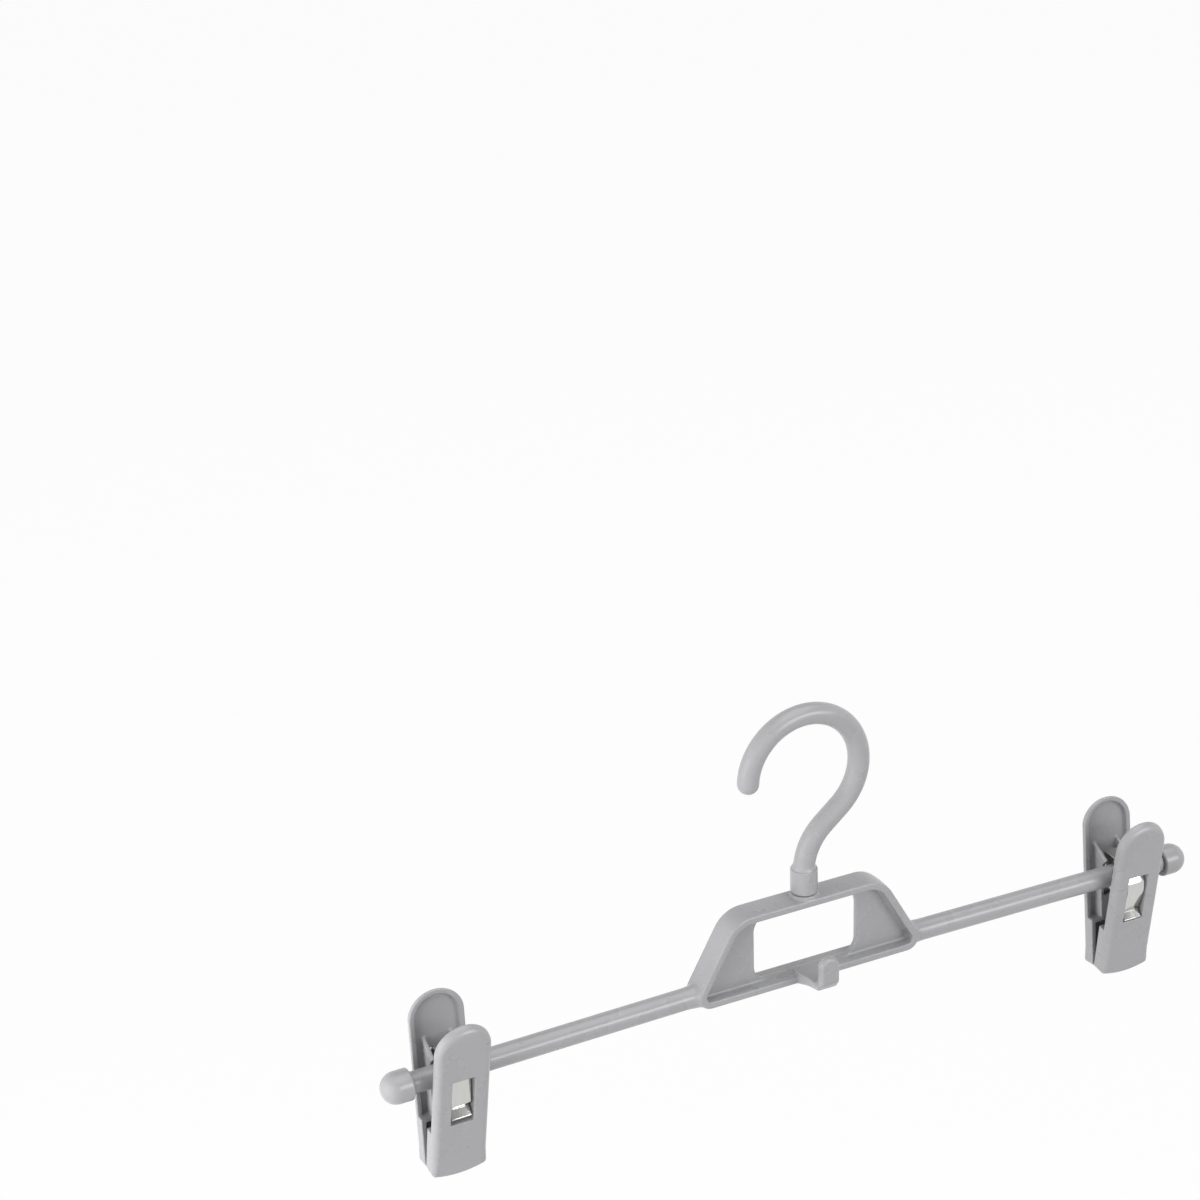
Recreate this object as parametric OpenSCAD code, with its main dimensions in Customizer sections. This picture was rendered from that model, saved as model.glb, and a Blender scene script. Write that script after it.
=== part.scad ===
// Skirt hanger: a moulded frame with a long arm each way, a swivel hook, and a sprung pinch clip that
// slides along each arm. Millimetres, X along the arms, Y to the back, Z up.
// The origin is the centre of the hook's bend, which is where a wardrobe rail passes.

/* [Overall] */
// Length from knob tip to knob tip
overall_l = 330; // [290:1:400]
// Height of the hook's centre above the arms
hang_drop = 77.2; // [74:0.1:90]

/* [Hook] */
// Thickness of the hook's round rod
hook_d = 7.8; // [7:0.1:8.4]
// Radius of the hook's bend, to the middle of its rod
hook_r = 22.2; // [21:0.1:24]
// Where the bend ends at the tip, in degrees round from the right
hook_tip_a = 177; // [150:1:190]
// How far the bend comes down on the right, in degrees
hook_low_a = 50; // [46:1:54]
// Radius of the bend that brings the rod back over the stem
stem_bend_r = 21.4; // [20:0.1:23]
// Diameter of the flared foot of the stem
foot_d = 9.1; // [8.8:0.1:9.6]
// Height of the flared foot
foot_h = 1.8; // [1:0.1:2]

/* [Collar] */
// Outer diameter of the collar
collar_d = 9.8; // [9.4:0.1:11]
// Height of the collar
collar_h = 9.2; // [7:0.1:9.6]
// Rounding of the collar's top edge
collar_edge = 0.5; // [0.2:0.1:0.8]
// Diameter of the tail that goes down through the collar and the frame
tail_d = 5.2; // [4:0.1:6]
// Diameter of the head that holds the tail in the frame
tail_head_d = 7.2; // [6.6:0.1:7.8]
// Thickness of that head
tail_head_t = 1; // [0.8:0.1:1.4]

/* [Frame] */
// Height of the frame from the lower bar's underside to the top bar's top
frame_h = 32.7; // [28:0.1:38]
// Width between the sharp outer corners at the top
frame_top_w = 60.5; // [56:0.1:70]
// Width between the sharp outer corners at the bottom
frame_bottom_w = 97.5; // [92:0.1:108]
// Depth of the rim from front to back
rim_depth = 10.6; // [9.4:0.1:12]
// Thickness of the rim
rim_t = 3; // [2.6:0.1:3.6]
// Rounding of the rim's long edges
rim_edge = 0.5; // [0.3:0.1:1]
// Outer radius of the two top corners
top_corner_r = 12; // [10:0.5:15]
// Outer radius of the two bottom corners
bottom_corner_r = 5; // [4:0.1:5.4]
// How far the arms' middle line lies above the lower bar's underside
arm_above_bar = 4.1; // [4:0.1:5]
// Thickness of the recessed web on each side of the window
web_t = 2.2; // [1.6:0.1:3]
// Width of the window
window_w = 42.1; // [36:0.1:46]
// Radius of the window's corners
window_r = 6.5; // [4:0.5:8]
// Diameter of the round flange under the collar
flange_d = 10; // [9.4:0.1:10.6]
// Height of that flange
flange_h = 1.2; // [0.8:0.1:2]

/* [Arms] */
// Diameter of an arm
arm_d = 7.9; // [7:0.1:8.1]
// How far inside the frame's rounded lower corner an arm begins
arm_root_in = 0.1765; // [0.1:0.0005:1]
// How much each arm falls towards its end, in degrees
arm_fall = 0.65; // [0:0.05:2]
// Diameter where the arm swells into the frame
root_d = 8.7; // [8.5:0.1:9.1]
// Length of that swelling
root_l = 4; // [3:0.5:7]
// Diameter of the spigot in each end knob
spigot_d = 5; // [4:0.1:5.6]
// Length of the spigot
spigot_l = 7; // [5:0.5:8]

/* [End knobs] */
// Diameter of an end knob
knob_d = 11.5; // [11.4:0.1:14]
// Length of the knob's straight part
knob_straight = 4.8; // [4:0.1:8]
// Rounding of the knob's inner edge
knob_edge = 0.6; // [0.3:0.1:1.2]

/* [Small hook] */
// Width of the small front hook
finger_w = 7.7; // [6:0.1:9]
// Thickness of its upright finger
finger_t = 4.1; // [3.4:0.1:5]
// Height of the finger's top above the arms' middle line
finger_top = 11.5; // [10:0.1:15]
// How far the finger's front face stands before the middle plane
finger_reach = 18.8; // [17:0.1:22]
// Rounding of the finger's upright edges
finger_edge = 1.2; // [0.6:0.1:1.6]

/* [Clips] */
// Distance from the left clip's middle to its end knob
left_clip_in = 15.25; // [8:0.05:45]
// Distance from the right clip's middle to its end knob
right_clip_in = 17.25; // [8:0.05:45]
// How far the left clip is turned on its arm, in degrees
left_clip_turn = 4.8; // [-10:0.1:10]
// How far the right clip is turned on its arm, in degrees
right_clip_turn = 0.6; // [-10:0.1:10]
// Width of a jaw
jaw_w = 20.6; // [19:0.1:24]
// Height of a jaw's handle above the arm, along the jaw
handle_l = 27.9; // [25:0.1:34]
// Length of a jaw below the arm, along the jaw
grip_l = 39; // [35:0.1:42]
// Distance of a jaw's outer face from the arm's axis
face_d = 11; // [10.6:0.1:11.6]
// Lean of each jaw away from the middle plane, in degrees
jaw_lean = 7.3; // [6.8:0.1:8]
// Gap between the two jaw tips at rest
tip_gap = 0.2; // [0.1:0.05:0.5]
// Wall of a jaw's outer face
face_t = 1.6; // [1.2:0.1:1.9]
// Width of a jaw's rim
jaw_rim = 1.9; // [1.5:0.1:2.4]
// Depth of a jaw's side walls above the step
side_depth = 3.3; // [3:0.1:3.8]
// Rounding of the outer face's long edges
jaw_edge = 1.9; // [1.2:0.1:2.2]
// How far the step lies below the arm
step_l = 18.6; // [17:0.1:20]
// Distance of the side walls' inner edge from the arm's axis just below the step
step_d = 4.8; // [4.4:0.1:5.6]
// Width of the window in each jaw
slot_w = 8.6; // [8.2:0.1:10]
// Top of that window above the arm
slot_top = 5.3; // [4:0.1:6]
// Bottom of that window below the arm
slot_bottom = 14.8; // [14:0.1:16]
// Thickness of the two ribs that ride on the arm
rib_t = 1.4; // [1:0.1:2]
// Height of the ribs' top above the arm
rib_top = 10.4; // [9.6:0.1:13]
// Running clearance between ribs and arm
ride_gap = 0.1; // [0.05:0.01:0.1]

/* [Spring] */
// Width of the spring strip
strip_w = 7.4; // [6.4:0.1:7.8]
// Thickness of the spring strip
strip_t = 0.5; // [0.4:0.05:0.6]
// Height of the spring's crown above the arm's middle line
crown_z = 7.1; // [6.6:0.1:8]
// How far each bulge of the spring stands from the middle plane
bulge_y = 9.7; // [9.2:0.1:10]
// How far each knee stands from the middle plane
knee_y = 5.2; // [4.9:0.05:5.5]
// How far each knee lies below the arm
knee_drop = 13; // [12.4:0.1:13.4]
// How far each flared lip stands from the middle plane
lip_y = 8; // [7:0.1:8.4]
// How far each lip's edge lies below the arm
lip_drop = 14.4; // [14:0.1:14.8]

/* [Hidden] */
$fn = 64;
plastic = "#a7a7a9";
steel = "#d5d5d2";

// Heights of the frame and of what stands on it, all from the arms' middle line
arm_z = -hang_drop;
bar_low = -arm_above_bar;
bar_top = bar_low + frame_h;
flange_top = bar_top + flange_h;
swivel_gap = 0.3;
collar_low = flange_top + swivel_gap;
collar_top = collar_low + collar_h;
tail_gap = 0.08;
collar_bore_gap = 0.05;
head_gap = 0.25;
head_low = bar_top - rim_t + 0.1;

// Hook: its big bend, a short straight run, and the bend back over the stem
hook_run = (hook_r * cos(hook_low_a) - stem_bend_r * (1 - cos(hook_low_a))) / sin(hook_low_a);
hook_end = [hook_r * cos(hook_low_a), -hook_r * sin(hook_low_a)];
run_end = hook_end - hook_run * [sin(hook_low_a), cos(hook_low_a)];
stem_top_z = run_end[1] - stem_bend_r * sin(hook_low_a);
stem_foot_z = arm_z + collar_top;
seam = 0.02;
seam_l = 0.5;

// Arms and knobs. Rounding the lower corner draws its outermost point in by its radius times corner_draw.
arm_r = arm_d / 2;
slope_x = (frame_bottom_w - frame_top_w) / 2 / frame_h;
corner_draw = slope_x + sqrt(1 + slope_x * slope_x) - 1;
arm_root_x = frame_bottom_w / 2 - bottom_corner_r * corner_draw - arm_root_in;
knob_x = overall_l / 2 - knob_d / 2;
arm_end_x = knob_x - knob_straight;
knob_gap = 0.05;

// Rim: sharp corners of its middle line, from the top left round to the bottom left
rim_reach = 0.2;
slant_in = rim_t / 2 * sqrt(1 + slope_x * slope_x);
mid_top_x = frame_top_w / 2 + slope_x * rim_t / 2 - slant_in;
mid_low_x = frame_bottom_w / 2 - slope_x * rim_t / 2 - slant_in;
mid_top_z = bar_top - rim_t / 2;
mid_low_z = bar_low + rim_t / 2;
rim_points = [[-mid_top_x, mid_top_z], [mid_top_x, mid_top_z], [mid_low_x, mid_low_z],
    [-mid_low_x, mid_low_z]];
rim_radii = [top_corner_r - rim_t / 2, top_corner_r - rim_t / 2, bottom_corner_r - rim_t / 2,
    bottom_corner_r - rim_t / 2];

// Small hook: heights from the arms' middle line, and distances to the front
finger_back = finger_reach - finger_t;
finger_low = -1.1;
arm_top_z = 0.4;
inner_r = 2.4;
outer_r = 3.7;
foot_r = 1.9;
root_rise = 1.5;
flare_near = 1.2;
flare_far = 7.5;
finger_root = rim_depth / 2 - 1;
finger_neck = finger_back - inner_r;

// Jaw: distances from the arm's axis, outwards across the jaw and up along it
rim_d = face_d - side_depth;
wall_d = face_d - face_t;
tip_d = grip_l * tan(jaw_lean) + tip_gap / 2;
cap_l = handle_l - jaw_w / 2;
bow_r = 34;
corner_r = 1.2;
corner_lift = 1.02;
lip_t = 2.6;
step_t = 1.6;
sill_t = 1.5;
rib_nose = [1.35, 5.2];
rib_heel = [3.5, 3.1];
rib_in = slot_w / 2 + 0.1;
bridge_t = 1.5;
bridge_top = 10.2;
knee_gap = 0.12;
bite = 0.2;
sink = 0.5;
cove = 0.6;
crown_half = 6.3;
bulge_z = 0.8;
leg_z = -4.5;
bridge_d = knee_y * cos(jaw_lean) + knee_drop * sin(jaw_lean) - strip_t / 2 - knee_gap;

// Arc points in a plane: centre, radius, first and last angle, steps
function arc(c, r, a, b, n = 8) =
    [for (i = [0:n]) let (t = a + (b - a) * i / n) c + r * [cos(t), sin(t)]];
function unit(v) = v / norm(v);
function turn_of(a, b) = acos(a * b);
function wrap(i, n) = (i + n) % n;

// Where a rounded corner begins on the side towards another point
function tangent_point(p, q, r, half) = p + unit(q - p) * r * tan(half);

module rounded_box(w, h, r) {
    square([w - 2 * r, h], center = true);
    square([w, h - 2 * r], center = true);
    for (x = [-1, 1], y = [-1, 1])
        translate([x * (w / 2 - r), y * (h / 2 - r)]) circle(r = r);
}

// Puts its children on an arm, at a distance from the middle, with X along that arm
module on_arm(side, along) {
    translate([side * arm_root_x, 0, arm_z])
        rotate([0, side * arm_fall, 0])
            translate([side * (along - arm_root_x), 0, 0]) children();
}

// Stands a drawing in X and Z upright, with its depth centred on the middle plane
module upright(depth) {
    rotate([90, 0, 0]) linear_extrude(depth, center = true) children();
}

// The rod's straight run is a hair thinner and reaches a little way into the bends, so each joint is
// a plain step
module hook() {
    thin_d = hook_d - 2 * seam;
    color(plastic) {
        rotate([90, 0, 0]) rotate([0, 0, -hook_low_a])
            rotate_extrude(angle = hook_low_a + hook_tip_a) translate([hook_r, 0]) circle(d = hook_d);
        rotate([0, -hook_tip_a, 0]) translate([hook_r, 0, 0]) sphere(d = thin_d);
        translate([run_end[0], 0, run_end[1]]) rotate([0, hook_low_a, 0])
            translate([0, 0, -seam_l]) cylinder(d = thin_d, h = hook_run + 2 * seam_l);
        difference() {
            rotate([90, 0, 0]) translate([stem_bend_r, stem_top_z]) rotate([0, 0, 180 - hook_low_a])
                rotate_extrude(angle = hook_low_a) translate([stem_bend_r, 0]) circle(d = hook_d);
            translate([0, 0, stem_foot_z - hook_d]) cylinder(d = 2 * hook_d, h = hook_d);
        }
        hook_foot();
        hook_tail();
    }
}

// Flare of the stem where it stands on the collar
module hook_foot() {
    translate([0, 0, stem_foot_z]) cylinder(d1 = foot_d, d2 = hook_d - 0.1, h = foot_h);
}

// Tail through the collar and the top bar, with its head in the bar's underside
module hook_tail() {
    translate([0, 0, arm_z + head_low]) {
        cylinder(d = tail_d, h = collar_top - head_low + 0.5);
        cylinder(d = tail_head_d, h = tail_head_t);
    }
}

module hook_collar() {
    color(plastic) translate([0, 0, arm_z + collar_low]) difference() {
        union() {
            cylinder(d = collar_d, h = collar_h - collar_edge);
            translate([0, 0, collar_h - collar_edge])
                cylinder(d1 = collar_d, d2 = collar_d - 2 * collar_edge, h = collar_edge);
        }
        translate([0, 0, -1]) cylinder(d = tail_d + 2 * collar_bore_gap, h = collar_h + 2);
    }
}

module rim_section(inset) {
    rounded_box(rim_t - 2 * inset, rim_depth - 2 * inset, rim_edge);
}

// One straight side of the rim, drawn flat, between two points, a hair thinner than the bends it joins
module rim_bar(a, b) {
    d = b - a;
    translate(a - unit(d) * rim_reach) rotate([0, 0, atan2(d[1], d[0])]) rotate([90, 0, 90])
        linear_extrude(norm(d) + 2 * rim_reach) rim_section(seam);
}

// The whole rim, drawn flat: a straight bar to each corner and a bend round it
module rim() {
    n = len(rim_points);
    for (i = [0:n - 1]) {
        before = rim_points[wrap(i - 1, n)];
        p = rim_points[i];
        after = rim_points[wrap(i + 1, n)];
        beyond = rim_points[wrap(i + 2, n)];
        half = turn_of(unit(p - before), unit(after - p)) / 2;
        next_half = turn_of(unit(after - p), unit(beyond - after)) / 2;
        enter = tangent_point(p, before, rim_radii[i], half);
        leave = tangent_point(p, after, rim_radii[i], half);
        inward = unit(unit(before - p) + unit(after - p));
        middle = p + inward * rim_radii[i] / cos(half);
        first = leave - middle;
        translate(middle) rotate([0, 0, atan2(first[1], first[0])])
            rotate_extrude(angle = 2 * half) translate([rim_radii[i], 0]) rim_section(0);
        rim_bar(leave, tangent_point(after, p, rim_radii[wrap(i + 1, n)], next_half));
    }
}

// Outline of the rim's middle line, which bounds the web
function rim_corner(i, n) =
    let (before = rim_points[wrap(i - 1, n)], p = rim_points[i], after = rim_points[wrap(i + 1, n)])
    let (half = turn_of(unit(p - before), unit(after - p)) / 2)
    let (inward = unit(unit(before - p) + unit(after - p)))
    let (middle = p + inward * rim_radii[i] / cos(half))
    let (first = tangent_point(p, before, rim_radii[i], half) - middle)
    let (start = atan2(first[1], first[0]))
    arc(middle, rim_radii[i], start, start - 2 * half);

module web() {
    n = len(rim_points);
    window_h = frame_h - 2 * rim_t;
    difference() {
        polygon([for (i = [0:n - 1]) each rim_corner(i, n)]);
        translate([0, bar_low + frame_h / 2]) rounded_box(window_w, window_h, window_r);
    }
}

// Small front hook: an arm that tapers from the lower bar, and an upright finger with an arched top
module finger_side() {
    outer = [finger_reach - outer_r, finger_low + outer_r];
    inner = [finger_neck, arm_top_z + inner_r];
    tip = [finger_reach - finger_t / 2, finger_top - finger_t / 2];
    polygon(concat([[finger_neck, finger_low]], arc(outer, outer_r, -90, 0),
        arc(tip, finger_t / 2, 0, 180), arc(inner, inner_r, 0, -90)));
}

module finger_front() {
    r = finger_w / 2;
    translate([0, finger_top - r]) circle(r = r);
    translate([-r, finger_low + foot_r]) square([finger_w, finger_top - r - finger_low - foot_r]);
    translate([-r + foot_r, finger_low]) square([finger_w - 2 * foot_r, foot_r]);
    for (x = [-1, 1]) translate([x * (r - foot_r), finger_low + foot_r]) circle(r = foot_r);
}

module finger_plan() {
    front = finger_reach - finger_edge;
    translate([-finger_w / 2, 0]) square([finger_w, front]);
    translate([-finger_w / 2 + finger_edge, 0]) square([finger_w - 2 * finger_edge, finger_reach]);
    for (x = [-1, 1]) translate([x * (finger_w / 2 - finger_edge), front]) circle(r = finger_edge);
}

module arm_side_view() {
    polygon([[finger_root, arm_top_z], [finger_root, bar_low + 0.1], [finger_neck + 1, finger_low - 0.1],
        [finger_reach - outer_r, finger_low + 0.1], [finger_reach - outer_r, arm_top_z]]);
}

module arm_plan() {
    flare = finger_w / 2 + root_rise;
    near = finger_root + flare_near;
    far = finger_root + flare_far;
    polygon([[-flare, 0], [flare, 0], [flare, near], [finger_w / 2, far], [finger_w / 2, finger_reach],
        [-finger_w / 2, finger_reach], [-finger_w / 2, far], [-flare, near]]);
}

// Cuts a side view by a plan, both seen with the front towards -Y
module side_by_plan() {
    intersection() {
        rotate([90, 0, -90]) linear_extrude(3 * finger_w, center = true) children(0);
        translate([0, 0, bar_low - 2]) mirror([0, 1, 0]) linear_extrude(3 * finger_top) children(1);
    }
}

module small_hook() {
    side_by_plan() {
        arm_side_view();
        arm_plan();
    }
    intersection() {
        side_by_plan() {
            finger_side();
            finger_plan();
        }
        upright(3 * finger_reach) finger_front();
    }
}

// One arm with its swollen root and the spigot that carries the end knob
module hanger_arm(side) {
    on_arm(side, arm_root_x) rotate([0, side * 90, 0]) {
        translate([0, 0, -1]) cylinder(d = arm_d, h = arm_end_x - arm_root_x + 1);
        translate([0, 0, -0.5]) cylinder(d1 = root_d, d2 = arm_d - 0.02, h = root_l);
        cylinder(d = spigot_d, h = arm_end_x - arm_root_x + spigot_l);
    }
}

module frame() {
    color(plastic) {
        difference() {
            union() {
                translate([0, 0, arm_z]) {
                    rotate([90, 0, 0]) rim();
                    upright(web_t) web();
                    small_hook();
                    translate([0, 0, bar_top - rim_t / 2])
                        cylinder(d = flange_d, h = flange_h + rim_t / 2);
                }
                for (side = [-1, 1]) hanger_arm(side);
            }
            translate([0, 0, arm_z]) {
                cylinder(d = tail_d + 2 * tail_gap, h = flange_top + 1);
                translate([0, 0, head_low - rim_t])
                    cylinder(d = tail_head_d + 2 * head_gap, h = rim_t + tail_head_t + head_gap);
            }
        }
    }
}

// End knob: a dome on a short straight part, pressed on the arm's spigot
module end_knob(side) {
    color(plastic) on_arm(side, arm_end_x) rotate([0, side * 90, 0]) difference() {
        rotate_extrude() {
            translate([0, knob_straight]) intersection() {
                circle(d = knob_d);
                square(knob_d);
            }
            translate([0, knob_edge]) square([knob_d / 2, knob_straight - knob_edge]);
            square([knob_d / 2 - knob_edge, knob_straight]);
            translate([knob_d / 2 - knob_edge, knob_edge]) circle(r = knob_edge);
        }
        translate([0, 0, -1]) cylinder(d = spigot_d + 2 * knob_gap, h = spigot_l + 1.3);
    }
}

// Half of a jaw's cross-section beside its middle line, with the outer face's edge rounded
module jaw_section() {
    half_w = jaw_w / 2;
    square([half_w - jaw_edge, face_d]);
    square([half_w, face_d - jaw_edge]);
    translate([half_w - jaw_edge, face_d - jaw_edge]) circle(r = jaw_edge);
}

// Half of the hollow's cross-section, with a cove up to the inside of the face
module hollow_section() {
    half_w = jaw_w / 2 - jaw_rim;
    square([half_w - cove, wall_d]);
    square([half_w, wall_d - cove]);
    translate([half_w - cove, wall_d - cove]) circle(r = cove);
}

// Carries a half section down both sides of a jaw and round its top
module round_the_top(from_l) {
    straight = cap_l - from_l;
    translate([0, 0, from_l]) {
        translate([0, 0, straight]) rotate([90, 0, 0]) rotate_extrude(angle = 180) children();
        for (m = [0, 1]) mirror([m, 0, 0]) linear_extrude(straight) mirror([0, 1, 0]) children();
    }
}

// Side view of a jaw's depth: shallow beside the arm, deeper below the step, and meeting at the tip
module jaw_depth() {
    top = handle_l + 1;
    low = -grip_l - 3;
    polygon([[face_d + 1, low], [face_d + 1, top], [rim_d, top], [rim_d, -step_l],
        [step_d, -step_l], [tip_d, -grip_l], [tip_d, low]]);
}

// Front view of a jaw: straight sides, and a bottom edge that bows down between round corners
module jaw_front() {
    half_w = jaw_w / 2;
    sag = bow_r - sqrt(bow_r * bow_r - half_w * half_w);
    corner_z = -grip_l + sag + corner_lift;
    translate([-half_w, corner_z]) square([jaw_w, handle_l + grip_l]);
    intersection() {
        translate([0, -grip_l + bow_r]) circle(r = bow_r, $fn = 360);
        union() {
            translate([-half_w + corner_r, -grip_l - 1]) square([jaw_w - 2 * corner_r, grip_l]);
            for (x = [-1, 1]) translate([x * (half_w - corner_r), corner_z]) circle(r = corner_r);
        }
    }
}

// Rib beside the spring: it stands on the face, rides on the arm, and runs down beside the window
module rib_side() {
    inner = bridge_d - bridge_t;
    polygon([[wall_d + sink, rib_top], [wall_d, rib_top], rib_nose, rib_heel, [rib_heel[0], -rib_heel[1]],
        [inner, -bridge_top + bridge_t], [inner, -step_l - sink], [wall_d + sink, -step_l - sink]]);
}

// A side view in distance out and height, made solid across the jaw from x0 to x1
module across(x0, x1) {
    translate([x0, 0, 0]) rotate([90, 0, 90]) linear_extrude(x1 - x0) mirror([1, 0]) children();
}

// The jaw's shell: a shallow tray with a deeper box below the step
module jaw_shell() {
    difference() {
        intersection() {
            round_the_top(-grip_l - 2) jaw_section();
            across(-jaw_w, jaw_w) jaw_depth();
            rotate([90, 0, 0]) linear_extrude(2 * face_d + 2) jaw_front();
        }
        round_the_top(-step_l) hollow_section();
        for (m = [0, 1]) mirror([m, 0, 0]) translate([0, 0, -grip_l + lip_t])
            linear_extrude(grip_l - lip_t - step_l - step_t) mirror([0, 1, 0]) hollow_section();
        across(-slot_w / 2, slot_w / 2) translate([wall_d - 0.5, -slot_bottom])
            square([face_t + 2, slot_bottom + slot_top]);
    }
}

// One jaw, in its own place beside the arm: Z up along it, its outer face towards the front
module jaw() {
    jaw_shell();
    for (side = [-1, 1]) {
        low = side < 0 ? -rib_in - rib_t : rib_in;
        difference() {
            across(low, low + rib_t) rib_side();
            rotate([0, 90, 0]) cylinder(r = arm_r + ride_gap, h = 2 * jaw_w, center = true);
        }
    }
    across(-rib_in - bite, rib_in + bite) {
        translate([bridge_d - bridge_t, -step_l - sink]) square([bridge_t, step_l + sink - bridge_top]);
        translate([bridge_d - bite, -slot_bottom - sill_t])
            square([wall_d - bridge_d + 2 * bite, sill_t]);
    }
}

function clip_x(side) = arm_end_x - (side < 0 ? left_clip_in : right_clip_in);
function clip_turn(side) = side < 0 ? left_clip_turn : right_clip_turn;

module front_jaw(side) {
    color(plastic) on_arm(side, clip_x(side)) rotate([clip_turn(side) + jaw_lean, 0, 0]) jaw();
}

module back_jaw(side) {
    color(plastic) on_arm(side, clip_x(side)) rotate([clip_turn(side), 0, 0]) mirror([0, 1, 0])
        rotate([jaw_lean, 0, 0]) jaw();
}

// Middle line of half the spring strip, from crown to lip, with a radius at each bend
strip_points = [[0, crown_z], [crown_half, crown_z], [bulge_y - 0.2, bulge_z],
    [bulge_y - 0.6, leg_z], [knee_y, -knee_drop], [lip_y, -lip_drop]];
strip_radii = [0, 1.3, 2.6, 12, 0.9, 0];

function bend(i) =
    let (before = strip_points[i - 1], p = strip_points[i], after = strip_points[i + 1])
    let (a = unit(p - before), b = unit(after - p), half = turn_of(a, b) / 2)
    let (enter = p - a * strip_radii[i] * tan(half))
    let (side = a[0] * b[1] - a[1] * b[0] > 0 ? 1 : -1)
    let (middle = enter + side * strip_radii[i] * [-a[1], a[0]])
    let (first = enter - middle, start = atan2(first[1], first[0]))
    arc(middle, strip_radii[i], start, start + side * 2 * half, 10);

half_strip = concat([strip_points[0]], [for (i = [1:4]) each bend(i)], [strip_points[5]]);
half_n = len(half_strip);
full_strip = concat([for (i = [half_n - 1:-1:1]) [-half_strip[i][0], half_strip[i][1]]], half_strip);

function across_strip(i) =
    let (n = len(full_strip), a = full_strip[max(i - 1, 0)], b = full_strip[min(i + 1, n - 1)])
    let (d = unit(b - a)) [-d[1], d[0]] * strip_t / 2;

module clip_spring(side) {
    n = len(full_strip);
    upper = [for (i = [0:n - 1]) full_strip[i] + across_strip(i)];
    lower = [for (i = [n - 1:-1:0]) full_strip[i] - across_strip(i)];
    color(steel) on_arm(side, clip_x(side)) rotate([clip_turn(side), 0, 0]) rotate([90, 0, 90])
        linear_extrude(strip_w, center = true) polygon(concat(upper, lower));
}

hook();
hook_collar();
frame();
end_knob(-1);  // left_end_knob
end_knob(1);  // right_end_knob
front_jaw(-1);  // left_front_jaw
back_jaw(-1);  // left_back_jaw
clip_spring(-1);  // left_clip_spring
front_jaw(1);  // right_front_jaw
back_jaw(1);  // right_back_jaw
clip_spring(1);  // right_clip_spring
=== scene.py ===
"""Skirt hanger: a moulded swivel hook, a frame with two long arms, and a sprung pinch clip on each arm.

Sizes are in millimetres in the part's own frame, and each mesh is scaled to metres as it is made. The
origin is the centre of the hook's bend, X runs along the arms, Y to the back and Z up. Lamps and camera
are placed in metres, and all angles are in degrees.
"""
import math

import bpy
import numpy as np
from mathutils import Matrix, Vector


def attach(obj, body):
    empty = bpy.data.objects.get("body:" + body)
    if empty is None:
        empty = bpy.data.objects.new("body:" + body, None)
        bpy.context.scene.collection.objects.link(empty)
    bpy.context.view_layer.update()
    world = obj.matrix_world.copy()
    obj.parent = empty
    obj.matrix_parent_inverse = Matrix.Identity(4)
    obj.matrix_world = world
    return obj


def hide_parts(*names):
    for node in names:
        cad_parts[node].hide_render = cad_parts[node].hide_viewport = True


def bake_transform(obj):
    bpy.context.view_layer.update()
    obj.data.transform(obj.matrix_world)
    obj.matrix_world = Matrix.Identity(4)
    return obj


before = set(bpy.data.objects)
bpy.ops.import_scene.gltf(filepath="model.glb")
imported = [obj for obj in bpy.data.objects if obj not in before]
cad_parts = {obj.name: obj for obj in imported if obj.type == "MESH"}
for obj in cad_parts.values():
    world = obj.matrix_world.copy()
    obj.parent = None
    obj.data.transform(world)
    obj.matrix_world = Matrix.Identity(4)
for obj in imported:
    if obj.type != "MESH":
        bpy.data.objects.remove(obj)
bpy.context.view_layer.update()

MM = 0.001
SOFT = 0.3  # roundness of an ordinary moulded edge

# Arms and knobs. HANG_DROP is how far the arms' roots hang below the middle of the hook's bend, and
# ARM_SINK how far an arm starts inside the frame. Each arm ends in a thinner spigot for its knob.
OVERALL_L = 330.0
HANG_DROP = 77.2
ARM_R = 3.95
ARM_ROOT_X = 45.0
ARM_SINK = 2.0
ARM_FALL = 0.65
ARM_SWELL = 0.3
ARM_SWELL_L = 5.0
ARM_FILLET = 1.4
KNOB_R = 5.75
KNOB_STRAIGHT = 4.8
KNOB_EDGE = 0.6
ARM_END = OVERALL_L / 2 - KNOB_R - KNOB_STRAIGHT
SPIGOT_R = 2.5
SPIGOT_L = 7.0
SPIGOT_GAP = 0.05
SPIGOT_END_GAP = 0.3

# Frame, with heights from the arms' middle line. The web is the thin wall round the window, and the
# crown is how much the rim's sides swell in the middle of their depth.
BAR_LOW = -4.1
FRAME_H = 32.7
BAR_TOP = BAR_LOW + FRAME_H
FRAME_TOP_W = 60.5
FRAME_BOTTOM_W = 97.5
RIM_T = 3.0
RIM_DEPTH = 10.6
RIM_EDGE = 0.5
RIM_TOP_R = 10.5
RIM_LOW_R = 3.5
RIM_CROWN_OUT = 0.3
RIM_CROWN_IN = 0.15
WEB_T = 2.2
WEB_FILLET = 0.7
WINDOW_HALF = 21.05
WINDOW_R = 6.5
FLANGE_R = 5.0
FLANGE_TOP = BAR_TOP + 1.2
FLANGE_ROOT = BAR_TOP - 2.0
SMALL_FILLET = 0.4

# Collar, and the hook's tail through it with the head that keeps the hook in the frame
COLLAR_R = 4.9
COLLAR_H = 9.2
COLLAR_EDGE = 0.5
COLLAR_LOW = FLANGE_TOP + 0.3
COLLAR_GAP = 0.05
STEM_FOOT = COLLAR_LOW + COLLAR_H
TAIL_R = 2.6
TAIL_GAP = 0.08
HEAD_R = 3.6
HEAD_T = 1.0
HEAD_GAP = 0.25
HEAD_LOW = BAR_TOP - RIM_T + 0.1

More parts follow.
